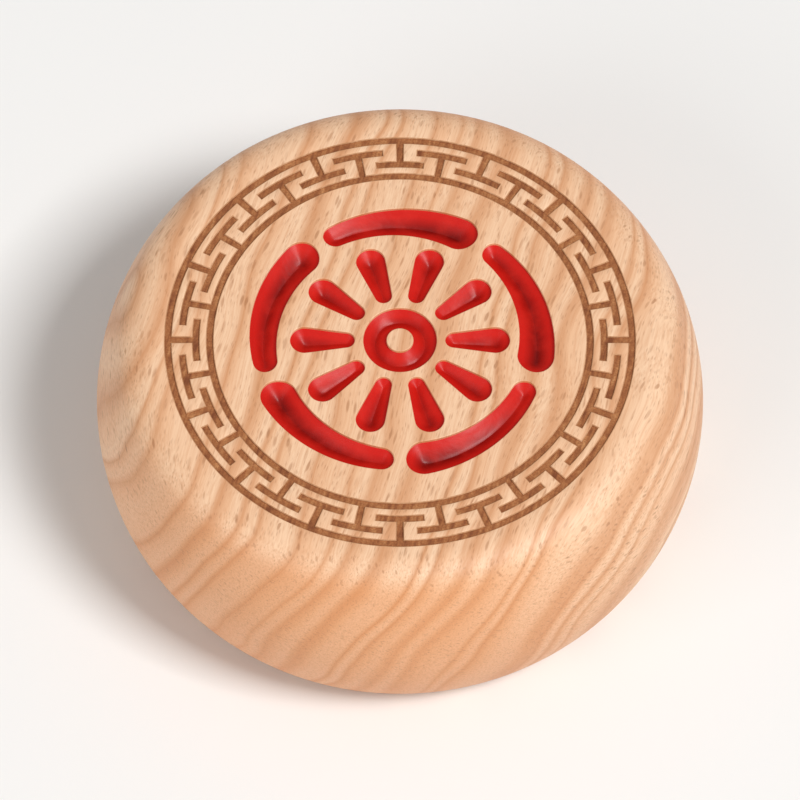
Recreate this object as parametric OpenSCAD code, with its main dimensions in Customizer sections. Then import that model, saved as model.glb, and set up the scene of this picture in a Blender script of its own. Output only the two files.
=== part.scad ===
// Turned beech game piece for Chinese chess: a barrel-sided counter with a
// burnt fret ring and a carved, paint-filled chariot wheel on its upper face.
// Millimetres, +Z up, origin at the middle of the base.

/* [Turned body] */
// Largest diameter, at half height
piece_d = 50; // [45:0.5:60]
// Height from the base to the carved face
piece_h = 20; // [16:0.5:26]
// Width of the rounded shoulder, from the flat face out to the widest girth
shoulder_w = 5; // [4.2:0.1:7]
// Radius of the rolled edge at the face and at the base
edge_r = 3.5; // [2:0.1:4.5]

/* [Fret ring] */
// Bare wood between the rolled edge and the ring
ring_margin = 0.8; // [0.3:0.1:2]
// Width of a burnt line
fret_line_w = 0.5; // [0.35:0.05:0.65]
// Width of the bare wood between two burnt lines
fret_gap_w = 0.64; // [0.45:0.01:0.8]
// Length of one repeat of the fret, along the middle of the ring
fret_repeat = 6.8; // [5.8:0.1:9]
// Length of the bar across the end of a fret hook
fret_bar_l = 4; // [3:0.1:4.4]
// Depth of the burnt groove below the face
burn_depth = 0.25; // [0.15:0.05:0.6]
// Thickness of the char on the floor of the groove
char_t = 0.1; // [0.05:0.01:0.14]

/* [Wheel emblem] */
// Bare wood between the fret ring and the wheel
wheel_margin = 2.6; // [1.5:0.1:4]
// Widest part of a rim stroke, where the brush would land
felloe_head_w = 3; // [2.4:0.1:3.4]
// Narrowest part of a rim stroke, where the brush would lift
felloe_tail_w = 2; // [1.4:0.1:2.4]
// Gap between one rim stroke and the next
felloe_gap = 1; // [0.6:0.1:1.6]
// Width of a spoke stroke at its outer end
spoke_head_w = 2.4; // [1.8:0.1:2.8]
// Width of a spoke stroke at its inner end
spoke_tip_w = 1.4; // [1:0.1:1.7]
// Length of a spoke stroke
spoke_l = 5.28; // [4.4:0.02:6.5]
// Gap between a spoke and the rim, and between a spoke and the hub
spoke_gap = 0.7; // [0.5:0.1:1.1]
// Diameter of the painted hub
hub_d = 6; // [5:0.1:7]
// Diameter of the bare axle end in the middle of the hub
axle_d = 2.2; // [1.2:0.1:3]
// Depth of the carved strokes below the face
carve_depth = 1.3; // [0.6:0.1:2]
// Height of bare carved wall above the paint
paint_recess = 0.3; // [0.1:0.05:0.5]

/* [Hidden] */
// Rim strokes in the wheel, and spokes in all, two for each rim stroke
felloe_count = 5;
spoke_count = 2 * felloe_count;
// Straight steps along a rounded outline
arc_steps = 16;
$fn = 96;
// Cutters stand proud of the face by this much
overrun = 0.5;

// Body: the side is one barrel arc that runs smoothly into both rolled edges
piece_r = piece_d / 2;
mid_z = piece_h / 2;
face_r = piece_r - shoulder_w;
edge_z = mid_z - edge_r;
barrel_r = (pow(shoulder_w, 2) + pow(edge_z, 2) - pow(edge_r, 2)) / (2 * (shoulder_w - edge_r));
barrel_x = piece_r - barrel_r;
barrel_z = barrel_r * sin(atan2(edge_z, face_r - barrel_x));

// Fret ring, from the outer border line inwards
border_out_r = face_r - ring_margin;
line_pitch = fret_line_w + fret_gap_w;
inner_bar_r = border_out_r - line_pitch;
outer_bar_r = inner_bar_r - line_pitch;
border_in_r = outer_bar_r - line_pitch;
ring_in_r = border_in_r - fret_line_w;
ring_mid_r = (border_out_r + ring_in_r) / 2;
fret_count = round(2 * PI * ring_mid_r / fret_repeat);
fret_angle = 360 / fret_count;
bar_angle = arc_degrees(fret_bar_l, ring_mid_r);

// Wheel, drawn from its hub outwards, then fitted to the field inside the ring
spoke_in_x = hub_d / 2 + spoke_gap;
spoke_out_x = spoke_in_x + spoke_l;
felloe_r = spoke_out_x + spoke_gap + felloe_head_w / 2;
drawn_wheel_r = felloe_r + felloe_head_w / 2;
wheel_r = ring_in_r - wheel_margin;
wheel_fit = wheel_r / drawn_wheel_r;
felloe_angle = 360 / felloe_count;
spoke_angle = 360 / spoke_count;
top_angle = 90;

// Angle in degrees that an arc length takes up at a radius
function arc_degrees(length, radius) = length / radius * 180 / PI;

// Points of an arc about a centre
function arc_points(centre, radius, from, to) = [
    for (i = [0 : arc_steps])
        let (a = from + (to - from) * i / arc_steps)
        centre + radius * [cos(a), sin(a)]
];

// Outline of a straight brush stroke along +X, narrow end first
function spoke_points(tip_x, tip_r, head_x, head_r) =
    let (tilt = acos((tip_r - head_r) / (head_x - tip_x)))
    concat(
        arc_points([head_x, 0], head_r, -tilt, tilt),
        arc_points([tip_x, 0], tip_r, tilt, 360 - tilt)
    );

// One edge of a rim stroke, whose half width runs from the head to the tail
function felloe_edge(side, head_a, tail_a) = [
    for (i = [0 : arc_steps])
        let (
            run = i / arc_steps,
            a = head_a + (tail_a - head_a) * run,
            half_w = (felloe_head_w + (felloe_tail_w - felloe_head_w) * run) / 2
        )
        (felloe_r + side * half_w) * [cos(a), sin(a)]
];

// Round end of a rim stroke
function felloe_cap(a, half_w, from, to) =
    arc_points(felloe_r * [cos(a), sin(a)], half_w, a + from, a + to);

// Outline of a rim stroke centred on +X
function felloe_points() =
    let (
        head_a = -felloe_angle / 2 + arc_degrees((felloe_gap + felloe_head_w) / 2, felloe_r),
        tail_a = felloe_angle / 2 - arc_degrees((felloe_gap + felloe_tail_w) / 2, felloe_r),
        inner_edge = felloe_edge(-1, head_a, tail_a)
    )
    concat(
        felloe_edge(1, head_a, tail_a),
        felloe_cap(tail_a, felloe_tail_w / 2, 0, 180),
        [for (i = [arc_steps : -1 : 0]) inner_edge[i]],
        felloe_cap(head_a, felloe_head_w / 2, 180, 360)
    );

// Half section of the body: a core, two rolled edges and the barrel side
module body_section() {
    square([face_r, piece_h]);
    for (z = [edge_r, piece_h - edge_r])
        translate([face_r, z]) circle(edge_r);
    intersection() {
        translate([barrel_x, mid_z]) circle(barrel_r);
        translate([0, mid_z - barrel_z]) square([piece_r, 2 * barrel_z]);
    }
}

module ring_plan(out_r) {
    difference() {
        circle(out_r);
        circle(out_r - fret_line_w);
    }
}

// Bar of a fret hook: a short stretch of a ring centred on +X
module bar_plan(out_r) {
    reach = piece_r / cos(bar_angle / 2);
    intersection() {
        ring_plan(out_r);
        polygon([
            [0, 0],
            reach * [cos(-bar_angle / 2), sin(-bar_angle / 2)],
            reach * [cos(bar_angle / 2), sin(bar_angle / 2)]
        ]);
    }
}

// Stem of a fret hook, from the middle of one line to the middle of another
module stem_plan(from_r, to_r) {
    translate([from_r - fret_line_w / 2, -fret_line_w / 2])
        square([to_r - from_r, fret_line_w]);
}

// Outer border with its hooks, which hang towards the middle
module outer_fret_plan() {
    ring_plan(border_out_r);
    for (i = [0 : fret_count - 1])
        rotate(i * fret_angle) {
            bar_plan(outer_bar_r);
            stem_plan(outer_bar_r, border_out_r);
        }
}

// Inner border with its hooks, which stand between the others
module inner_fret_plan() {
    ring_plan(border_in_r);
    for (i = [0 : fret_count - 1])
        rotate((i + 1 / 2) * fret_angle) {
            bar_plan(inner_bar_r);
            stem_plan(border_in_r, inner_bar_r);
        }
}

module felloe_plan(i) {
    rotate(top_angle + (i - 1) * felloe_angle)
        polygon(felloe_points());
}

module spoke_plan(i) {
    rotate(top_angle + (i - 1 / 2) * spoke_angle)
        polygon(spoke_points(
            spoke_in_x + spoke_tip_w / 2, spoke_tip_w / 2,
            spoke_out_x - spoke_head_w / 2, spoke_head_w / 2
        ));
}

module hub_plan() {
    difference() {
        circle(hub_d / 2);
        circle(axle_d / 2);
    }
}

// Everything that is carved out for paint
module wheel_plan() {
    for (i = [1 : felloe_count])
        felloe_plan(i);
    for (i = [1 : spoke_count])
        spoke_plan(i);
    hub_plan();
}

// The drawn wheel, brought to the size of its field
module fitted() {
    scale([wheel_fit, wheel_fit]) children();
}

// A plan sunk into the face: its floor is at the given depth
module sunk(depth, thickness) {
    translate([0, 0, piece_h - depth])
        linear_extrude(thickness)
            children();
}

module turned_body() {
    color("burlywood")
        difference() {
            rotate_extrude() body_section();
            sunk(burn_depth, burn_depth + overrun) {
                outer_fret_plan();
                inner_fret_plan();
            }
            sunk(carve_depth, carve_depth + overrun) fitted() wheel_plan();
        }
}

module outer_fret_line() {
    color("saddlebrown") sunk(burn_depth, char_t) outer_fret_plan();
}

module inner_fret_line() {
    color("sienna") sunk(burn_depth, char_t) inner_fret_plan();
}

module paint_fill() {
    color("firebrick") sunk(carve_depth, carve_depth - paint_recess) fitted() children();
}

module felloe_paint(i) {
    paint_fill() felloe_plan(i);
}

module spoke_paint(i) {
    paint_fill() spoke_plan(i);
}

module hub_paint() {
    paint_fill() hub_plan();
}

turned_body();
outer_fret_line();
inner_fret_line();
for (i = [1 : felloe_count])
    felloe_paint(i);
for (i = [1 : spoke_count])
    spoke_paint(i);
hub_paint();
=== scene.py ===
"""Beech xiangqi piece: a turned counter with a burnt fret ring and a carved red wheel.

Sizes are metres, written as millimetres times MM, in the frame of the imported
model: +Z up, origin at the middle of the base, +Y towards the top of the wheel.
"""

import logging
import math
from abc import ABC, abstractmethod
from collections.abc import Callable, Iterator, Sequence
from contextlib import contextmanager
from dataclasses import dataclass, field
from enum import Enum
from itertools import accumulate, pairwise

import bmesh
import bpy
from mathutils import Euler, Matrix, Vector, noise


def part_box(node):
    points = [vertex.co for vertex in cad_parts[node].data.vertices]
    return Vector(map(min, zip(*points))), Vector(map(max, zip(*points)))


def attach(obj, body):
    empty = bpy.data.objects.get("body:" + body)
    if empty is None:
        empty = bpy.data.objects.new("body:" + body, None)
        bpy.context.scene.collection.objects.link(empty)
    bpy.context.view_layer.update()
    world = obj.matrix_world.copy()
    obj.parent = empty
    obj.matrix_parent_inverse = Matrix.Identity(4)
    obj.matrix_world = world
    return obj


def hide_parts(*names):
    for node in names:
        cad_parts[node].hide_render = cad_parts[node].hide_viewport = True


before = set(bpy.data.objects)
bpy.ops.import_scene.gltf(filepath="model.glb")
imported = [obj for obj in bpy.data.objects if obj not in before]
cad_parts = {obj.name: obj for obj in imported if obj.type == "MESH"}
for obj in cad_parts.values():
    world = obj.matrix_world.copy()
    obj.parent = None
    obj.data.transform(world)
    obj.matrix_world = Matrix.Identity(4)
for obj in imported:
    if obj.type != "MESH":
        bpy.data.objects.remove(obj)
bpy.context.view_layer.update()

Node = bpy.types.Node
Piece = bpy.types.Object
Socket = bpy.types.NodeSocket
Tree = bpy.types.NodeTree
Inputs = dict[str | int, object]
Triple = tuple[float, float, float]

MM = 0.001
# Points closer than WELD are one point, and heights closer than HAIR are one height
WELD = 0.002 * MM
HAIR = 0.001 * MM
# The Z of a level face's normal is above LEVEL, and that of a wall's is below STEEP
LEVEL = 0.9
STEEP = 0.3
# Inputs of a Mix node, for numbers and for colours: their names repeat for each data type
SHARE, FIRST, SECOND, UNDER, OVER = 0, 2, 3, 6, 7
CARRIER = "root"
LOG = logging.getLogger("xiangqi_piece")


class Slot(Enum):
    """Material slots of the record."""

    BEECH = "beech"
    CHAR = "burnt_line"
    ENAMEL = "red_paint"


class BodyCoat(Enum):
    """Materials of the body's own mesh, by index."""

    WOOD = 0
    CHAR = 1
    SCORCH = 2


class FretLine(Enum):
    """The two burnt lines of the fret, each with the hooks that grow from it."""

    OUTER = "outer_fret_line"
    INNER = "inner_fret_line"


class Pick(Enum):
    """What a click selects in edit mode."""

    POINTS = "VERT"
    EDGES = "EDGE"
    FACES = "FACE"


def linear(hex_colour: str) -> tuple[float, float, float, float]:
    """Turns an sRGB hex value into a linear colour.

    Args:
        hex_colour: The colour as "#rrggbb".

    Returns:
        Red, green, blue and alpha, linear.
    """
    parts = [int(hex_colour[i : i + 2], 16) / 255 for i in (1, 3, 5)]
    red, green, blue = (
        c / 12.92 if c <= 0.04045 else ((c + 0.055) / 1.055) ** 2.4 for c in parts
    )
    return red, green, blue, 1.0


def plug(tree: Tree, node: Node, inputs: Inputs) -> None:
    """Sets or links inputs of a node.

    Args:
        tree: The node's tree.
        node: The node.
        inputs: A value, an output, or a node for its first output in use, for each
            input by name or index.
    """
    for key, value in inputs.items():
        if isinstance(value, Node):
            value = next(output for output in value.outputs if output.enabled)
        if isinstance(value, Socket):
            tree.links.new(value, node.inputs[key])
        else:
            node.inputs[key].default_value = value


def add_node(
    tree: Tree,
    kind: str,
    inputs: Inputs | None = None,
    stops: Sequence[tuple[float, str]] = (),
    **settings: object,
) -> Node:
    """Adds a shader node with its settings, values and links.

    Args:
        tree: The material's node tree.
        kind: The node's type name after "ShaderNode".
        inputs: What each input gets, as for plug.
        stops: Places and hex colours of a colour ramp.
        settings: The node's own settings.

    Returns:
        The new node.
    """
    made = tree.nodes.new("ShaderNode" + kind)
    for name, value in settings.items():
        setattr(made, name, value)
    plug(tree, made, inputs or {})
    for i, (place, colour) in enumerate(stops):
        stop = made.color_ramp.elements[i] if i < 2 else made.color_ramp.elements.new(place)
        stop.position = place
        stop.color = linear(colour)
    return made


def new_material(name: str) -> tuple[bpy.types.Material, Tree, Node]:
    """Makes an empty material.

    Args:
        name: The material's name.

    Returns:
        The material, its node tree and its shader.
    """
    material = bpy.data.materials.new(name)
    material.use_nodes = True
    tree = material.node_tree
    return material, tree, tree.nodes["Principled BSDF"]


def hold(*pieces: Piece) -> None:
    """Selects only these pieces and makes the first one active.

    Args:
        pieces: The pieces.
    """
    bpy.ops.object.select_all(action="DESELECT")
    for piece in pieces:
        piece.select_set(True)
    bpy.context.view_layer.objects.active = pieces[0]


@contextmanager
def editing(piece: Piece, pick: Pick) -> Iterator[None]:
    """Opens one piece in edit mode with nothing selected.

    Args:
        piece: The piece to edit.
        pick: What is selected while it is open.
    """
    hold(piece)
    bpy.ops.object.mode_set(mode="EDIT")
    bpy.ops.mesh.select_mode(type=pick.value)
    bpy.ops.mesh.select_all(action="DESELECT")
    yield
    bpy.ops.object.mode_set(mode="OBJECT")


def select(
    piece: Piece,
    pick: Pick,
    wanted: Callable[[bmesh.types.BMFace | bmesh.types.BMEdge], bool],
) -> int:
    """Selects faces or edges of the piece in edit mode.

    Args:
        piece: The piece that is open in edit mode.
        pick: Whether faces or edges are selected.
        wanted: Says whether one of them is selected.

    Returns:
        How many are selected.
    """
    mesh = bmesh.from_edit_mesh(piece.data)
    parts = mesh.faces if pick is Pick.FACES else mesh.edges
    for part in parts:
        part.select_set(wanted(part))
    bmesh.update_edit_mesh(piece.data)
    return sum(part.select for part in parts)


def extrude_up(rise: float) -> None:
    """Extrudes the selected faces straight up, or down where the rise is negative."""
    bpy.ops.mesh.extrude_region_move(TRANSFORM_OT_translate={"value": (0.0, 0.0, rise)})


def face_outwards() -> None:
    """Selects all of the mesh in edit mode and turns its faces outwards."""
    bpy.ops.mesh.select_all(action="SELECT")
    bpy.ops.mesh.normals_make_consistent(inside=False)


def radius_of(point: Vector) -> float:
    """Distance of a point from the axis of the piece."""
    return math.hypot(point.x, point.y)


def arc_points(
    centre: tuple[float, float], radius: float, turns: Sequence[float]
) -> list[tuple[float, float]]:
    """Lays points on an arc of the half section.

    Args:
        centre: Radius and height of the arc's centre.
        radius: The arc's own radius.
        turns: Angle of each point, from level.

    Returns:
        Radius and height of each point.
    """
    return [(centre[0] + radius * math.cos(t), centre[1] + radius * math.sin(t)) for t in turns]


def is_rim(edge: bmesh.types.BMEdge, level: float) -> bool:
    """Says whether an edge is the arris between a level face and a wall below it.

    Args:
        edge: The edge.
        level: Height of the face.

    Returns:
        True for an arris at that height.
    """
    if len(edge.link_faces) != 2 or any(abs(v.co.z - level) > HAIR for v in edge.verts):
        return False
    wall, flat = sorted(abs(face.normal.z) for face in edge.link_faces)
    return wall < STEEP and flat > LEVEL


def coat(piece: Piece, *materials: bpy.types.Material) -> None:
    """Gives a piece its materials.

    Args:
        piece: The piece.
        materials: All of its materials, in the order of its slots.
    """
    piece.data.materials.clear()
    for material in materials:
        piece.data.materials.append(material)


def carry(piece: Piece, node: str) -> None:
    """Puts a finished piece in the place of its CAD node.

    Args:
        piece: The finished piece.
        node: The node that it stands for.
    """
    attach(piece, CARRIER)
    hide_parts(node)
    LOG.info("%s stands for %s: %d faces", piece.name, node, len(piece.data.polygons))


@dataclass(frozen=True)
class Beech:
    """Steamed beech, turned, fine-sanded and thinly lacquered.

    The eye gets a pale pink-tan wood with soft, uneven growth bands, and short
    dark flecks where the rays come out along the grain, under a dull satin.
    Where the fibres end, at the front and the back, the wood is warmer and the
    bands and flecks are fainter.
    """

    early: str = "#fad4b0"
    middle: str = "#f0be95"
    late: str = "#cd8b5b"
    fleck: str = "#a96f45"
    pore: str = "#985f38"
    end: str = "#df8b48"
    end_share: float = 0.48
    ring_mm: float = 2.1
    uneven_mm: float = 7.0
    uneven_rings: float = 3.2
    drift_mm: float = 20.0
    sway_mm: float = 5.0
    blotch_mm: float = 13.0
    fleck_mm: Triple = (2.0, 0.27, 0.6)
    # Real fibres and pores are under 0.1 mm across: they are drawn coarser, to show at all
    fibre_mm: Triple = (7.0, 0.15, 0.15)
    pore_mm: Triple = (1.1, 0.2, 0.2)
    pith_mm: Triple = (0.0, 62.0, 22.0)
    half_height_mm: float = 10.0
    grain_turn: float = math.radians(74)
    grain_tilt: float = math.radians(5)
    relief: float = 0.03 * MM
    ior: float = 1.5

    def sway(self, tree: Tree, log: Node) -> Node:
        """Bends the grain a little, as it grew.

        Args:
            tree: The material's node tree.
            log: Place in the log, in millimetres from the pith.

        Returns:
            Place in the bent grain, with X along the fibres.
        """
        drift = add_node(
            tree, "TexNoise", {"Vector": log, "Scale": 1 / self.drift_mm, "Detail": 2.0}
        )
        centred = add_node(
            tree,
            "VectorMath",
            {0: drift.outputs["Color"], 1: (0.5, 0.5, 0.5)},
            operation="SUBTRACT",
        )
        return add_node(
            tree,
            "VectorMath",
            {0: centred, 1: (self.sway_mm,) * 3, 2: log},
            operation="MULTIPLY_ADD",
        )

    def end_grain(self, tree: Tree, normal: Socket, lie: Euler) -> Node:
        """Finds where the surface lies across the fibres.

        Args:
            tree: The material's node tree.
            normal: The surface's normal.
            lie: How the log is turned.

        Returns:
            A share that is 0 on side grain and 1 on end grain.
        """
        fibre_way = lie.to_matrix().inverted() @ Vector((1.0, 0.0, 0.0))
        facing = add_node(
            tree, "VectorMath", {0: normal, 1: tuple(fibre_way)}, operation="DOT_PRODUCT"
        )
        either = add_node(tree, "Math", {0: facing}, operation="ABSOLUTE")
        return add_node(
            tree,
            "MapRange",
            {"Value": either, "From Min": 0.35, "From Max": 0.9},
            interpolation_type="SMOOTHSTEP",
        )

    def rings(self, tree: Tree, depth: Node) -> Node:
        """Draws growth rings of uneven width and tone.

        Args:
            tree: The material's node tree.
            depth: Distance from the pith.

        Returns:
            The colour of the rings.
        """
        uneven = add_node(
            tree,
            "TexNoise",
            {"W": depth, "Scale": 1 / self.uneven_mm, "Detail": 2.0},
            noise_dimensions="1D",
        )
        count = add_node(tree, "Math", {0: depth, 1: 1 / self.ring_mm}, operation="MULTIPLY")
        phase = add_node(
            tree, "Math", {0: uneven, 1: self.uneven_rings, 2: count}, operation="MULTIPLY_ADD"
        )
        year = add_node(tree, "Math", {0: phase}, operation="FRACT")
        ends = [(0.0, self.late), (1.0, self.late)]
        between = [(0.27, self.early), (0.50, self.early), (0.78, self.middle)]
        tones = add_node(tree, "ValToRGB", {"Fac": year}, stops=ends + between)
        # Each ring is drawn towards the middle tone by a share of its own
        which = add_node(tree, "Math", {0: phase}, operation="FLOOR")
        weather = add_node(tree, "TexWhiteNoise", {"W": which}, noise_dimensions="1D")
        mildness = add_node(tree, "MapRange", {"Value": weather, "To Min": 0.05, "To Max": 0.6})
        return add_node(
            tree,
            "Mix",
            {SHARE: mildness, UNDER: tones, OVER: linear(self.middle)},
            data_type="RGBA",
        )

    def flecks(self, tree: Tree, grain: Node, depth: Node, end_grain: Node) -> Node:
        """Draws ray flecks: thin lenses along the grain that run in towards the pith.

        Args:
            tree: The material's node tree.
            grain: Place in the bent grain.
            depth: Distance from the pith.
            end_grain: Share of end grain.

        Returns:
            The share of the fleck's colour.
        """
        reach = math.hypot(self.pith_mm[1], self.pith_mm[2] + self.half_height_mm)
        length, width, height = self.fleck_mm
        parts = add_node(tree, "SeparateXYZ", {0: grain})
        turn = add_node(
            tree, "Math", {0: parts.outputs["Z"], 1: parts.outputs["Y"]}, operation="ARCTAN2"
        )
        spot = add_node(tree, "CombineXYZ", {"X": parts.outputs["X"], "Y": turn, "Z": depth})
        ray_place = add_node(
            tree,
            "VectorMath",
            {0: spot, 1: (1 / length, reach / width, 1 / height)},
            operation="MULTIPLY",
        )
        rays = add_node(tree, "TexVoronoi", {"Vector": ray_place, "Scale": 1.0})
        lens = add_node(
            tree,
            "MapRange",
            {"Value": rays, "From Min": 0.17, "From Max": 0.37, "To Min": 1.0, "To Max": 0.0},
            interpolation_type="SMOOTHSTEP",
        )
        chance = add_node(tree, "SeparateColor", {0: rays.outputs["Color"]})
        showing = add_node(
            tree, "MapRange", {"Value": chance, "From Min": 0.2, "From Max": 1.0, "To Max": 0.6}
        )
        side_grain = add_node(tree, "MapRange", {"Value": end_grain, "To Min": 1.0, "To Max": 0.5})
        shown = add_node(tree, "Math", {0: showing, 1: side_grain}, operation="MULTIPLY")
        return add_node(tree, "Math", {0: lens, 1: shown}, operation="MULTIPLY")

    def material(self) -> bpy.types.Material:
        """Builds the wood as a solid block of grain, so that each cut shows its own figure.

        Returns:
            The wood.
        """
        material, tree, shader = new_material("beech_satin_lacquer")
        lie = Euler((0.0, self.grain_tilt, -self.grain_turn))
        place = add_node(tree, "TexCoord")
        log = add_node(
            tree,
            "Mapping",
            {
                "Vector": place.outputs["Object"],
                "Location": self.pith_mm,
                "Rotation": tuple(lie),
                "Scale": (1 / MM,) * 3,
            },
        )
        grain = self.sway(tree, log)
        aside = add_node(tree, "VectorMath", {0: grain, 1: (0.0, 1.0, 1.0)}, operation="MULTIPLY")
        depth = add_node(tree, "VectorMath", {0: aside}, operation="LENGTH")
        end_grain = self.end_grain(tree, place.outputs["Normal"], lie)

        # Fibres and pores: fine streaks and specks along the grain
        fibre_place, pore_place = (
            add_node(
                tree,
                "VectorMath",
                {0: grain, 1: tuple(1 / mm for mm in size)},
                operation="MULTIPLY",
            )
            for size in (self.fibre_mm, self.pore_mm)
        )
        fibres = add_node(
            tree,
            "TexNoise",
            {"Vector": fibre_place, "Scale": 1.0, "Detail": 3.0, "Roughness": 0.6},
        )
        pores = add_node(tree, "TexVoronoi", {"Vector": pore_place, "Scale": 1.0})
        pits = add_node(
            tree,
            "MapRange",
            {"Value": pores, "From Min": 0.10, "From Max": 0.32, "To Min": 0.34, "To Max": 0.0},
        )

        # Colour, from the broad tone of the blank down to the pores
        blotch = add_node(
            tree, "TexNoise", {"Vector": log, "Scale": 1 / self.blotch_mm, "Detail": 3.0}
        )
        tone = add_node(
            tree, "MapRange", {"Value": blotch, "From Min": 0.3, "From Max": 0.7, "To Max": 0.3}
        )
        soaked = add_node(tree, "MapRange", {"Value": end_grain, "To Max": self.end_share})
        streak = add_node(
            tree, "MapRange", {"Value": fibres, "From Min": 0.40, "From Max": 0.75, "To Max": 0.5}
        )
        colour = self.rings(tree, depth)
        for share, tint in (
            (tone, self.middle),
            (soaked, self.end),
            (streak, self.late),
            (self.flecks(tree, grain, depth, end_grain), self.fleck),
            (pits, self.pore),
        ):
            colour = add_node(
                tree, "Mix", {SHARE: share, UNDER: colour, OVER: linear(tint)}, data_type="RGBA"
            )

        # Satin: the lacquer sinks into the fibres and stays fuller between them
        satin = add_node(
            tree,
            "MapRange",
            {"Value": fibres, "From Min": 0.3, "From Max": 0.7, "To Min": 0.44, "To Max": 0.58},
        )
        raised = add_node(tree, "Math", {0: fibres, 1: pits}, operation="SUBTRACT")
        relief = add_node(
            tree, "Bump", {"Strength": 0.35, "Distance": self.relief, "Height": raised}
        )
        look = {"Base Color": colour, "Roughness": satin, "Normal": relief, "IOR": self.ior}
        plug(tree, shader, look)
        return material


@dataclass(frozen=True)
class BurntLine:
    """Beech charred by a laser.

    The eye gets a matte brown that is darker where the beam burnt deeper, and
    is broken up by the grain that it crosses.
    """

    name: str = "beech_laser_char"
    deep: str = "#7c4220"
    common: str = "#a8683a"
    thin: str = "#c68a57"
    patch_mm: float = 1.1
    # Real soot is much finer: it is drawn as coarse as it needs to show
    grit_mm: float = 0.14
    fibre_mm: Triple = (3.2, 0.3, 0.3)
    grain_turn: float = math.radians(74)
    relief: float = 0.04 * MM

    def material(self) -> bpy.types.Material:
        """Builds the char.

        Returns:
            The char.
        """
        material, tree, shader = new_material(self.name)
        place = add_node(tree, "TexCoord").outputs["Object"]
        turned = add_node(
            tree, "Mapping", {"Vector": place, "Rotation": (0.0, 0.0, -self.grain_turn)}
        )
        along = add_node(
            tree,
            "Mapping",
            {"Vector": turned, "Scale": tuple(1 / (size * MM) for size in self.fibre_mm)},
        )
        fibres = add_node(tree, "TexNoise", {"Vector": along, "Scale": 1.0, "Detail": 3.0})
        patches, grit = (
            add_node(
                tree,
                "TexNoise",
                {"Vector": place, "Scale": 1 / (size * MM), "Detail": detail, "Roughness": rough},
            )
            for size, detail, rough in ((self.patch_mm, 4.0, 0.65), (self.grit_mm, 2.0, 0.5))
        )
        depth = add_node(
            tree, "Mix", {SHARE: 0.5, FIRST: patches, SECOND: fibres}, data_type="FLOAT"
        )
        stops = [(0.36, self.deep), (0.66, self.thin), (0.5, self.common)]
        burn = add_node(tree, "ValToRGB", {"Fac": depth}, stops=stops)
        ash = add_node(
            tree, "MapRange", {"Value": grit, "From Min": 0.35, "From Max": 0.7, "To Max": 0.55}
        )
        sooty = add_node(
            tree, "Mix", {SHARE: ash, UNDER: burn, OVER: linear(self.deep)}, data_type="RGBA"
        )
        dull = add_node(tree, "MapRange", {"Value": grit, "To Min": 0.72, "To Max": 0.95})
        relief = add_node(tree, "Bump", {"Strength": 0.5, "Distance": self.relief, "Height": grit})
        plug(tree, shader, {"Base Color": sooty, "Roughness": dull, "Normal": relief})
        return material


@dataclass(frozen=True)
class ScorchedRim(BurntLine):
    """Beech browned by the heat along the rim of a burnt line.

    The eye gets a soft tan edge between the dark char and the bare wood.
    """

    name: str = "beech_scorched_rim"
    deep: str = "#b27c52"
    common: str = "#c79268"
    thin: str = "#d6a67f"


@dataclass(frozen=True)
class RedEnamel:
    """Red enamel brushed into the carving and left to dry.

    The eye gets a deep glossy red with a slightly uneven skin, and painted shade:
    the red is darker along the bottom of the cut.
    """

    top: float
    full: str = "#cb1a11"
    # Painted shade: a darker red for the bottom of the V, where the cut is deepest
    valley_shade: str = "#780b08"
    light: str = "#dc2a1e"
    reach: float = 1.25 * MM
    pool_mm: float = 1.8
    skin_mm: float = 0.55
    relief: float = 0.05 * MM
    specular: float = 0.17
    coat_weight: float = 0.08
    coat_roughness: float = 0.22

    def material(self) -> bpy.types.Material:
        """Builds the enamel.

        Returns:
            The enamel.
        """
        material, tree, shader = new_material("red_gloss_enamel")
        place = add_node(tree, "TexCoord").outputs["Object"]
        height = add_node(tree, "SeparateXYZ", {0: place}).outputs["Z"]
        bottom = self.top - self.reach
        climb = add_node(
            tree, "MapRange", {"Value": height, "From Min": bottom, "From Max": self.top}
        )
        pools = add_node(
            tree, "TexNoise", {"Vector": place, "Scale": 1 / (self.pool_mm * MM), "Detail": 3.0}
        )
        skin = add_node(
            tree, "TexNoise", {"Vector": place, "Scale": 1 / (self.skin_mm * MM), "Detail": 2.0}
        )
        # Painted shade: the red darkens towards the bottom of the cut
        stops = [(0.05, self.valley_shade), (0.56, self.full)]
        body = add_node(tree, "ValToRGB", {"Fac": climb}, stops=stops)
        share = add_node(
            tree, "MapRange", {"Value": pools, "From Min": 0.45, "From Max": 0.75, "To Max": 0.5}
        )
        pooled = add_node(
            tree, "Mix", {SHARE: share, UNDER: body, OVER: linear(self.light)}, data_type="RGBA"
        )
        sheen = add_node(tree, "MapRange", {"Value": pools, "To Min": 0.32, "To Max": 0.50})
        relief = add_node(tree, "Bump", {"Strength": 0.4, "Distance": self.relief, "Height": skin})
        plug(
            tree,
            shader,
            {
                "Base Color": pooled,
                "Roughness": sheen,
                "Normal": relief,
                "Specular IOR Level": self.specular,
                "Coat Weight": self.coat_weight,
                "Coat Roughness": self.coat_roughness,
            },
        )
        return material


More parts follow.
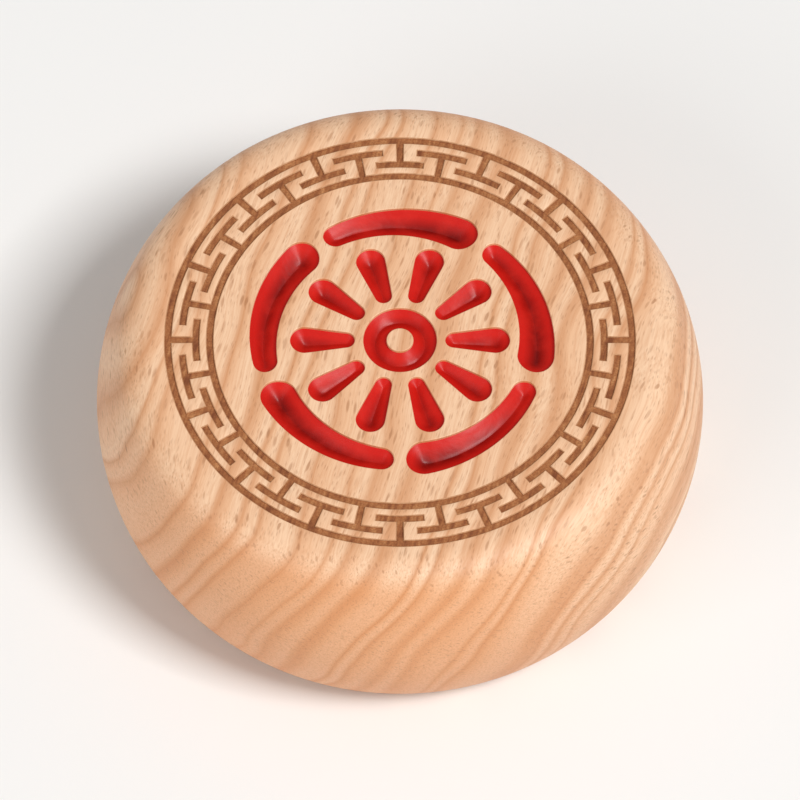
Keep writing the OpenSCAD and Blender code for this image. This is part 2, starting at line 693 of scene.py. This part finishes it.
@dataclass
class FretRing:
    """The burnt ring: two border lines whose T-shaped hooks lie between each other.

    The outer line's hooks hang inwards and the inner line's stand outwards, so
    the ring has eight radii where a line starts or ends, from the outside in.
    The seven bands between them are counted from 0, the outer border.
    """

    outer_radius: float
    line_width: float = 0.5 * MM
    gap_width: float = 0.64 * MM
    bar_length: float = 4.0 * MM
    groove_depth: float = 0.25 * MM
    char_thickness: float = 0.1 * MM
    arris: float = 0.08 * MM
    repeats: int = 16
    radii: list[float] = field(init=False)
    pitch: float = field(init=False)
    bar_turn: float = field(init=False)
    stem_turn: float = field(init=False)

    def __post_init__(self) -> None:
        """Works out the radii and the angles of one repeat."""
        steps = [self.line_width, self.gap_width] * 3 + [self.line_width]
        self.radii = [self.outer_radius - drop for drop in accumulate(steps, initial=0.0)]
        middle = (self.radii[0] + self.radii[-1]) / 2
        self.pitch = math.tau / self.repeats
        self.bar_turn = self.bar_length / middle / 2
        self.stem_turn = self.line_width / middle / 2

    def stretches(self) -> list[float]:
        """Splits one repeat where a line starts or ends.

        Returns:
            The successive turns.
        """
        half, bar, stem = self.pitch / 2, self.bar_turn, self.stem_turn
        marks = [0.0, stem, half - bar, bar, half - stem, half]
        turns = [there - here for here, there in pairwise(marks)]
        return turns + turns

    def line_at(self, point: Vector) -> FretLine | None:
        """Finds the burnt line at a point of the face.

        Args:
            point: A point of the face.

        Returns:
            The line, or None for bare wood.
        """
        radius = radius_of(point)
        if not self.radii[-1] < radius < self.radii[0]:
            return None
        band = sum(radius < r for r in self.radii) - 1
        turn = math.atan2(point.y, point.x) % self.pitch
        for line, border, stem, bar, aside in (
            (FretLine.OUTER, 0, (1, 2, 3), 4, min(turn, self.pitch - turn)),
            (FretLine.INNER, 6, (3, 4, 5), 2, abs(turn - self.pitch / 2)),
        ):
            on_bar = band == bar and aside < self.bar_turn
            on_stem = band in stem and aside < self.stem_turn
            if band == border or on_bar or on_stem:
                return line
        return None

    def burn(self, body: Piece) -> list[tuple[Piece, FretLine]]:
        """Sinks the grooves into the face and lifts a plate of char off their floors.

        Args:
            body: The turned body, whose face is cut along the lines.

        Returns:
            The two plates of char, each with its line.
        """
        with editing(body, Pick.FACES):
            select(
                body,
                Pick.FACES,
                lambda f: f.normal.z > LEVEL and self.line_at(f.calc_center_median()) is not None,
            )
            extrude_up(-self.groove_depth)
            bpy.ops.mesh.duplicate()
            bpy.ops.mesh.separate(type="SELECTED")
        char = next(o for o in bpy.context.selected_objects if o != body)
        with editing(char, Pick.FACES):
            bpy.ops.mesh.select_all(action="SELECT")
            bpy.ops.mesh.separate(type="LOOSE")
        plates = list(bpy.context.selected_objects)
        return [(plate, self.thicken(plate)) for plate in plates]

    def thicken(self, plate: Piece) -> FretLine:
        """Gives a plate of char its thickness and its name.

        Args:
            plate: The faces of one line's groove floor.

        Returns:
            The line that the plate lies in.
        """
        with editing(plate, Pick.FACES):
            bpy.ops.mesh.select_all(action="SELECT")
            extrude_up(self.char_thickness)
            face_outwards()
        reach = max(radius_of(v.co) for v in plate.data.vertices)
        line = FretLine.OUTER if reach > self.radii[1] else FretLine.INNER
        plate.name = f"{line.name.lower()}_fret_char"
        return line

    def dress(self, plates: Sequence[tuple[Piece, FretLine]], finish: BurntLine) -> None:
        """Gives the char its finish and its place in the frame.

        Args:
            plates: The two plates of char, each with its line.
            finish: The finish of the char.
        """
        char = finish.material()
        for plate, line in plates:
            coat(plate, char)
            carry(plate, line.value)


@dataclass
class TurnedBody:
    """The counter itself, turned as one barrel-sided piece with rolled edges."""

    radius: float
    height: float
    ring: FretRing
    shoulder_width: float = 5.0 * MM
    edge_radius: float = 3.5 * MM
    edge_steps: int = 10
    half_side_steps: int = 12
    widest_step: float = math.radians(1.9)
    carved_arris: float = 0.08 * MM
    arris_steps: int = 2
    smooth_angle: float = math.radians(50)

    def profile(self) -> list[tuple[float, float]]:
        """Half section from the flat of the base round to the inside of the fret ring.

        Returns:
            Radius and height of each point.
        """
        middle = self.height / 2
        face_radius = self.radius - self.shoulder_width
        roll = middle - self.edge_radius
        spread = self.shoulder_width**2 + roll**2 - self.edge_radius**2
        barrel = spread / (2 * (self.shoulder_width - self.edge_radius))
        barrel_centre = self.radius - barrel
        meet = math.atan2(roll, face_radius - barrel_centre)
        rest = math.pi / 2 - meet
        side = [meet * i / self.half_side_steps for i in range(self.half_side_steps + 1)]
        edge = [meet + rest * i / self.edge_steps for i in range(1, self.edge_steps + 1)]
        upper = arc_points((barrel_centre, middle), barrel, side)
        upper += arc_points((face_radius, self.height - self.edge_radius), self.edge_radius, edge)
        lower = [(r, self.height - z) for r, z in reversed(upper[1:])]
        face = [(r, self.height) for r in self.ring.radii]
        return lower + upper + face

    def build(self) -> Piece:
        """Turns the body with its plain face.

        Returns:
            The body, closed, with the lines of the ring drawn on its face.
        """
        section = self.profile()
        bpy.ops.object.select_all(action="DESELECT")
        bpy.ops.mesh.primitive_plane_add(size=MM)
        body = bpy.context.object
        body.name = "beech_body"
        with editing(body, Pick.POINTS):
            bpy.ops.mesh.select_all(action="SELECT")
            bpy.ops.mesh.merge(type="CENTER")
            bpy.ops.transform.translate(value=(section[0][0], 0.0, section[0][1]))
            for here, there in pairwise(section):
                step = (there[0] - here[0], 0.0, there[1] - here[1])
                bpy.ops.mesh.extrude_vertices_move(TRANSFORM_OT_translate={"value": step})
            bpy.ops.mesh.select_all(action="SELECT")
            for turn in self.ring.stretches():
                self.spin(max(1, round(turn / self.widest_step)), turn)
            bpy.ops.mesh.select_all(action="SELECT")
            copies = self.ring.repeats - 1
            self.spin(copies, copies * self.ring.pitch, dupli=True)
            bpy.ops.mesh.select_all(action="SELECT")
            bpy.ops.mesh.remove_doubles(threshold=WELD)
        with editing(body, Pick.EDGES):
            for level in (0.0, self.height):
                select(
                    body,
                    Pick.EDGES,
                    lambda e: e.is_boundary and abs(e.verts[0].co.z - level) < self.height / 2,
                )
                bpy.ops.mesh.edge_face_add()
            face_outwards()
        return body

    def spin(self, steps: int, turn: float, dupli: bool = False) -> None:
        """Spins what is selected about the axis of the piece.

        Args:
            steps: Steps of the turn.
            turn: The whole turn.
            dupli: Leaves copies in place of a skin.
        """
        bpy.ops.mesh.spin(
            steps=steps,
            angle=turn,
            center=(0.0, 0.0, 0.0),
            axis=(0.0, 0.0, 1.0),
            dupli=dupli,
            use_auto_merge=False,
        )

    def soften(self, body: Piece, carved_radius: float) -> None:
        """Takes the sharpness off the cut edges and smooths the turned surface.

        Args:
            body: The body with its ring and its carving.
            carved_radius: Radius that holds all of the carving.
        """
        with editing(body, Pick.EDGES):
            for arris, wanted in (
                (self.carved_arris, lambda r: r < carved_radius),
                (self.ring.arris, lambda r: r > carved_radius),
            ):
                found = select(
                    body,
                    Pick.EDGES,
                    lambda e: wanted(radius_of(e.verts[0].co)) and is_rim(e, self.height),
                )
                bpy.ops.mesh.bevel(
                    offset=arris,
                    offset_type="OFFSET",
                    segments=self.arris_steps,
                    clamp_overlap=False,
                )
                LOG.info("softened %d edges by %.2f mm", found, arris / MM)
        hold(body)
        bpy.ops.object.shade_smooth_by_angle(angle=self.smooth_angle)
        bpy.ops.object.modifier_add(type="WEIGHTED_NORMAL")
        body.modifiers[-1].keep_sharp = True
        bpy.ops.object.modifier_apply(modifier=body.modifiers[-1].name)

    def dress(self, body: Piece, wood: Beech, char: BurntLine, scorch: BurntLine) -> None:
        """Gives the body its wood, and the burnt grooves their walls and rims.

        Args:
            body: The finished body.
            wood: Finish of the wood.
            char: Finish of the groove walls.
            scorch: Finish of the rims of the grooves.
        """
        finishes = {BodyCoat.WOOD: wood, BodyCoat.CHAR: char, BodyCoat.SCORCH: scorch}
        coat(body, *(finishes[place].material() for place in BodyCoat))
        arris = self.ring.arris
        inner, outer = self.ring.radii[-1] - arris, self.ring.radii[0] + arris
        for face in body.data.polygons:
            drop = self.height - face.center.z
            in_groove = HAIR < drop < self.ring.groove_depth + HAIR
            if in_groove and inner < radius_of(face.center) < outer:
                burnt = BodyCoat.CHAR if drop > arris else BodyCoat.SCORCH
                face.material_index = burnt.value
        carry(body, "turned_body")


@dataclass(frozen=True)
class Carving:
    """How a stroke is cut into the face with a V-shaped cutter and painted."""

    face: float
    floor: float
    rim_drop: float = 0.26 * MM
    rim_waver: float = 0.05 * MM
    waver_length: float = 1.3 * MM
    slope: float = 0.62
    valley: float = 0.06
    lump: float = 0.03 * MM
    lump_length: float = 0.9 * MM
    lump_shift: Triple = (7.0, 3.0, 1.0)
    overrun: float = 0.5 * MM
    smooth_angle: float = math.radians(35)
    flat_angle: float = math.radians(0.1)

    def paint_height(self, x: float, y: float, fullness: float, half: float) -> float:
        """Height of the paint's skin, which follows the two slopes of the cut.

        Args:
            x: Place on the face.
            y: Place on the face.
            fullness: 0 along the middle of the stroke, 1 at its rim.
            half: Half width of the stroke there.

        Returns:
            The height.
        """
        place = Vector((x, y, 0.0))
        waver = abs(noise.noise(place / self.waver_length)) * self.rim_waver
        pooled = math.hypot(min(fullness, 1.0), self.valley) - self.valley
        share = 1 - pooled / (math.hypot(1.0, self.valley) - self.valley)
        lumps = noise.noise(place / self.lump_length + Vector(self.lump_shift)) * self.lump
        return self.face - self.rim_drop - waver - (self.slope * half + lumps) * share


@dataclass(kw_only=True)
class Stroke(ABC):
    """One painted stroke: a strip that is bent to its plan and creased along its middle."""

    name: str
    node: str
    across: int = 20

    @abstractmethod
    def stations(self) -> list[float]:
        """Places along the stroke at which its width is set."""

    @abstractmethod
    def half_width(self, along: float) -> float:
        """Half width of the stroke at a place along it."""

    @abstractmethod
    def fullness(self, along: float, aside: float) -> float:
        """How far a point is from the middle line, 0, towards the rim, 1."""

    @abstractmethod
    def plan(self, along: float, aside: float) -> tuple[float, float]:
        """Place on the face of a point of the stroke."""

    def span(self, along: float) -> float:
        """Half width that the cutter has to reach at a place along the stroke."""
        return self.half_width(along)

    def close_foot(self) -> None:
        """Closes the foot of the paint, whose edges are selected, with even triangles."""
        bpy.ops.mesh.edge_face_add()
        bpy.ops.mesh.quads_convert_to_tris(ngon_method="BEAUTY")

    def build(self, carving: Carving) -> Piece:
        """Makes the body of dried paint.

        Args:
            carving: How the stroke is cut and filled.

        Returns:
            The paint, closed, standing on the floor of the carving.
        """
        places = self.stations()
        last = len(places) - 1
        bpy.ops.object.select_all(action="DESELECT")
        bpy.ops.mesh.primitive_grid_add(x_subdivisions=last, y_subdivisions=self.across, size=2.0)
        paint = bpy.context.object
        paint.name = self.name
        for point in paint.data.vertices:
            along = places[round((point.co.x + 1) / 2 * last)]
            aside = point.co.y * self.half_width(along)
            x, y = self.plan(along, aside)
            full = self.fullness(along, aside)
            point.co = (x, y, carving.paint_height(x, y, full, self.span(along)))
        with editing(paint, Pick.EDGES):
            bpy.ops.mesh.select_all(action="SELECT")
            bpy.ops.mesh.remove_doubles(threshold=WELD)
            select(paint, Pick.EDGES, lambda e: e.is_boundary)
            bpy.ops.mesh.extrude_edges_move(
                TRANSFORM_OT_translate={"value": (0.0, 0.0, carving.floor - carving.face)}
            )
            bpy.ops.transform.resize(
                value=(1.0, 1.0, 0.0), center_override=(0.0, 0.0, carving.floor)
            )
            self.close_foot()
            face_outwards()
        hold(paint)
        bpy.ops.object.shade_smooth_by_angle(angle=carving.smooth_angle)
        return paint

    def cutter(self, paint: Piece, carving: Carving) -> Piece:
        """Makes the block that cuts the stroke, from the foot of its paint.

        Args:
            paint: The finished paint.
            carving: How the stroke is cut and filled.

        Returns:
            The block, which stands proud of the face.
        """
        hold(paint)
        bpy.ops.object.duplicate()
        block = bpy.context.object
        foot = carving.floor + HAIR
        with editing(block, Pick.FACES):
            select(block, Pick.FACES, lambda f: any(v.co.z > foot for v in f.verts))
            bpy.ops.mesh.delete(type="FACE")
            bpy.ops.mesh.select_all(action="SELECT")
            extrude_up(carving.face + carving.overrun - carving.floor)
            face_outwards()
            bpy.ops.mesh.dissolve_limited(angle_limit=carving.flat_angle)
        return block


@dataclass(kw_only=True)
class TaperedStroke(Stroke):
    """A stroke with two round ends, the head wider than the tail."""

    head: float
    tail: float
    length: float
    end_steps: int = 10
    middle_steps: int = 20

    def stations(self) -> list[float]:
        """Sets places along the stroke, close together round its ends.

        Returns:
            Distances from the centre of the head.
        """
        ends = [math.pi / 2 * i / self.end_steps for i in range(self.end_steps + 1)]
        head = [-self.head * math.cos(turn) for turn in ends]
        middle = [self.length * i / self.middle_steps for i in range(1, self.middle_steps)]
        tail = [self.length + self.tail * math.sin(turn) for turn in ends]
        return head + middle + tail

    def half_width(self, along: float) -> float:
        """Half width of two discs and the straight sides that touch both.

        Args:
            along: Distance from the centre of the head.

        Returns:
            The half width there.
        """
        lean = (self.head - self.tail) / self.length
        upright = math.sqrt(1 - lean**2)
        start, end = self.head * lean, self.length + self.tail * lean
        if along < start:
            return math.sqrt(max(self.head**2 - along**2, 0.0))
        if along > end:
            return math.sqrt(max(self.tail**2 - (along - self.length) ** 2, 0.0))
        run = (along - start) / (end - start)
        return (self.head + (self.tail - self.head) * run) * upright

    def span(self, along: float) -> float:
        """Half width at the nearest place between the centres of the ends."""
        return self.half_width(min(max(along, 0.0), self.length))

    def fullness(self, along: float, aside: float) -> float:
        """Distance from the middle line as a share of the local half width.

        Args:
            along: Distance from the centre of the head.
            aside: Distance from the middle line.

        Returns:
            The share, 1 at the rim.
        """
        if along < 0:
            return math.hypot(along, aside) / self.head
        if along > self.length:
            return math.hypot(along - self.length, aside) / self.tail
        return abs(aside) / self.half_width(along)


@dataclass(kw_only=True)
class Felloe(TaperedStroke):
    """A rim stroke of the wheel, bent round the hub."""

    bend: float
    start: float

    def plan(self, along: float, aside: float) -> tuple[float, float]:
        """Place on the face: along runs round the rim, aside outwards."""
        turn = self.start + along / self.bend
        return (self.bend + aside) * math.cos(turn), (self.bend + aside) * math.sin(turn)


@dataclass(kw_only=True)
class Spoke(TaperedStroke):
    """A spoke stroke of the wheel, with its head at the rim."""

    reach: float
    turn: float

    def plan(self, along: float, aside: float) -> tuple[float, float]:
        """Place on the face: along runs inwards to the hub."""
        x, cos, sin = self.reach - along, math.cos(self.turn), math.sin(self.turn)
        return x * cos - aside * sin, x * sin + aside * cos


@dataclass(kw_only=True)
class Hub(Stroke):
    """The round stroke in the middle of the wheel, with the bare axle inside it."""

    middle: float
    half: float
    steps: int = 72

    def stations(self) -> list[float]:
        """Turns round the hub."""
        return [math.tau * i / self.steps for i in range(self.steps + 1)]

    def half_width(self, along: float) -> float:
        """Half width, the same all round."""
        return self.half

    def fullness(self, along: float, aside: float) -> float:
        """Distance from the middle line as a share of the half width."""
        return abs(aside) / self.half

    def plan(self, along: float, aside: float) -> tuple[float, float]:
        """Place on the face: along runs round the hub, aside outwards."""
        return (self.middle + aside) * math.cos(along), (self.middle + aside) * math.sin(along)

    def close_foot(self) -> None:
        """Closes the foot between its two round edges."""
        bpy.ops.mesh.bridge_edge_loops()


@dataclass
class WheelEmblem:
    """The carved wheel: rim strokes, two spokes to each of them, and a hub."""

    field_radius: float
    hub_radius: float
    carving: Carving
    margin: float = 2.6 * MM
    felloe_head: float = 3.0 * MM
    felloe_tail: float = 2.0 * MM
    felloe_gap: float = 1.0 * MM
    spoke_head: float = 2.4 * MM
    spoke_tip: float = 1.4 * MM
    spoke_gap: float = 0.7 * MM
    spoke_steps: int = 8
    axle_radius: float = 1.1 * MM
    felloes: int = 5
    top: float = math.pi / 2
    radius: float = field(init=False)

    def __post_init__(self) -> None:
        """Fits the wheel into the bare field inside the ring."""
        self.radius = self.field_radius - self.margin

    def strokes(self) -> list[Stroke]:
        """Lays out all strokes of the wheel.

        Returns:
            The strokes, rim first.
        """
        bend = self.radius - self.felloe_head / 2
        share = math.tau / self.felloes
        lead = (self.felloe_gap + self.felloe_head) / 2 / bend
        trail = (self.felloe_gap + self.felloe_tail) / 2 / bend
        rim = [
            Felloe(
                name=f"felloe_enamel_{i + 1}",
                node=f"felloe_paint_{i + 1}",
                head=self.felloe_head / 2,
                tail=self.felloe_tail / 2,
                length=(share - lead - trail) * bend,
                bend=bend,
                start=self.top + (i - 0.5) * share + lead,
            )
            for i in range(self.felloes)
        ]
        outer = self.radius - self.felloe_head - self.spoke_gap - self.spoke_head / 2
        inner = self.hub_radius + self.spoke_gap + self.spoke_tip / 2
        spokes = [
            Spoke(
                name=f"spoke_enamel_{i + 1}",
                node=f"spoke_paint_{i + 1}",
                head=self.spoke_head / 2,
                tail=self.spoke_tip / 2,
                length=outer - inner,
                reach=outer,
                turn=self.top + (i + 0.5) * share / 2,
                middle_steps=self.spoke_steps,
            )
            for i in range(2 * self.felloes)
        ]
        hub = Hub(
            name="hub_enamel",
            node="hub_paint",
            middle=(self.hub_radius + self.axle_radius) / 2,
            half=(self.hub_radius - self.axle_radius) / 2,
        )
        return [*rim, *spokes, hub]

    def carve(self, body: Piece) -> list[tuple[Piece, str]]:
        """Cuts the strokes into the body and fills them.

        Args:
            body: The turned body.

        Returns:
            Each body of paint with the node that it stands for.
        """
        paints, blocks = [], []
        for stroke in self.strokes():
            paint = stroke.build(self.carving)
            paints.append((paint, stroke.node))
            blocks.append(stroke.cutter(paint, self.carving))
        hold(*blocks)
        bpy.ops.object.join()
        block = bpy.context.object
        hold(body)
        bpy.ops.object.modifier_add(type="BOOLEAN")
        cut = body.modifiers[-1]
        cut.operation = "DIFFERENCE"
        cut.solver = "EXACT"
        cut.object = block
        bpy.ops.object.modifier_apply(modifier=cut.name)
        hold(block)
        bpy.ops.object.delete()
        return paints

    def dress(self, paints: Sequence[tuple[Piece, str]], finish: RedEnamel) -> None:
        """Gives the paint its finish and its place in the frame.

        Args:
            paints: Each body of paint with its node.
            finish: The finish of the paint.
        """
        enamel = finish.material()
        for paint, node in paints:
            coat(paint, enamel)
            carry(paint, node)


@dataclass(frozen=True)
class Softbox:
    """A square lamp that faces the piece."""

    name: str
    place: Triple
    watts: float
    side: float = 0.5

    def hang(self, target: Vector) -> None:
        """Hangs the lamp in its place.

        Args:
            target: The point that it faces.
        """
        light = bpy.data.lights.new(self.name, "AREA")
        light.size = self.side
        light.energy = self.watts
        lamp = bpy.data.objects.new(self.name, light)
        lamp.location = self.place
        lamp.rotation_euler = (target - lamp.location).to_track_quat("-Z", "Y").to_euler()
        bpy.context.scene.collection.objects.link(lamp)


@dataclass
class Studio:
    """Pale floor, soft light and the camera of the photograph."""

    target: Vector
    elevation: float = math.radians(60.5)
    distance: float = 815 * MM
    view_width: float = 66 * MM
    sensor: float = 36.0
    floor_side: float = 6.0
    floor_colour: str = "#f2f1ef"
    floor_roughness: float = 0.8
    sky_colour: str = "#ffffff"
    sky_strength: float = 0.31
    key: Softbox = Softbox("key_softbox", (0.78, -0.46, 1.40), 20.5)
    fill: Softbox = Softbox("fill_softbox", (-0.50, -0.50, 0.44), 1.8)

    def build(self) -> None:
        """Sets the floor, the lights, the sky and the camera."""
        self.floor()
        for lamp in (self.key, self.fill):
            lamp.hang(self.target)
        self.sky()
        self.camera()
        bpy.context.scene.view_settings.view_transform = "Standard"

    def floor(self) -> None:
        """Lays a plain pale floor."""
        bpy.ops.object.select_all(action="DESELECT")
        bpy.ops.mesh.primitive_plane_add(size=self.floor_side)
        floor = bpy.context.object
        floor.name = "studio_floor"
        material, tree, shader = new_material("pale_floor")
        look = {"Base Color": linear(self.floor_colour), "Roughness": self.floor_roughness}
        plug(tree, shader, look)
        floor.data.materials.append(material)

    def sky(self) -> None:
        """Fills the room with even pale light."""
        world = bpy.data.worlds.new("studio_room")
        world.use_nodes = True
        room = world.node_tree.nodes["Background"]
        light = {"Color": linear(self.sky_colour), "Strength": self.sky_strength}
        plug(world.node_tree, room, light)
        bpy.context.scene.world = world

    def camera(self) -> None:
        """Looks at the piece from the angle of the photograph."""
        lens = bpy.data.cameras.new("photo_camera")
        lens.sensor_width = self.sensor
        lens.lens = self.sensor * self.distance / self.view_width
        camera = bpy.data.objects.new("photo_camera", lens)
        away = Vector((0.0, -math.cos(self.elevation), math.sin(self.elevation)))
        camera.location = self.target + away * self.distance
        camera.rotation_euler = (-away).to_track_quat("-Z", "Y").to_euler()
        bpy.context.scene.collection.objects.link(camera)
        bpy.context.scene.camera = camera


def main() -> None:
    """Builds the piece from its body to its paint, and the studio round it."""
    logging.basicConfig(level=logging.INFO)
    low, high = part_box("turned_body")
    ring = FretRing(outer_radius=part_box(FretLine.OUTER.value)[1].x)
    turned = TurnedBody(radius=high.x, height=high.z - low.z, ring=ring)
    hub_low, hub_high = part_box("hub_paint")
    carving = Carving(face=high.z, floor=hub_low.z)
    wheel = WheelEmblem(field_radius=ring.radii[-1], hub_radius=hub_high.x, carving=carving)
    body = turned.build()
    plates = ring.burn(body)
    paints = wheel.carve(body)
    turned.soften(body, wheel.radius + carving.overrun)
    turned.dress(body, Beech(), BurntLine(), ScorchedRim())
    ring.dress(plates, BurntLine())
    wheel.dress(paints, RedEnamel(top=high.z))
    Studio(target=Vector((0.0, 0.0, high.z / 2))).build()


if __name__ == "__main__":
    main()
